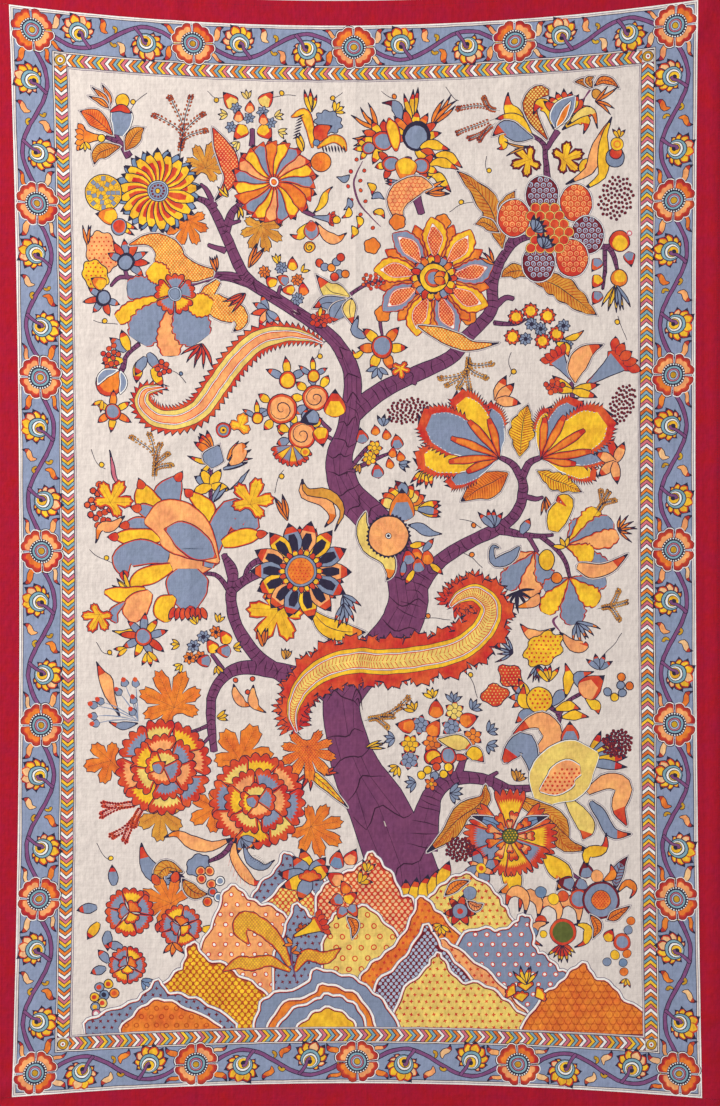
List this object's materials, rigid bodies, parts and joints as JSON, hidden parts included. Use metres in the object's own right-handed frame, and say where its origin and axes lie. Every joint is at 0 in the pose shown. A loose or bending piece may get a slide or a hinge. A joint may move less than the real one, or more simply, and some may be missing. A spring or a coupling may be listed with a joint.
{
  "type": "painted cotton tree panel",
  "caption": "Flat painted cotton cloth with a flowering tree and drawn borders, edged with plain cloth, lying face up.",
  "frame": {"origin": "on the surface, under the middle of the cloth", "axes": "+X across the cloth to the right, +Y up the painted tree, +Z out of the painted face"},
  "size_m": [1.5008, 2.3167, 0.0065],
  "materials": {
    "painted_cotton": "matte painted cotton",
    "plain_cotton": "matte dyed cotton",
    "sewing_thread": "matte cotton thread"
  },
  "bodies": {
    "root": {"painted_panel": "painted_cotton", "border_top": "plain_cotton", "border_bottom": "plain_cotton", "border_left": "plain_cotton", "border_right": "plain_cotton"}
  },
  "joints": []
}
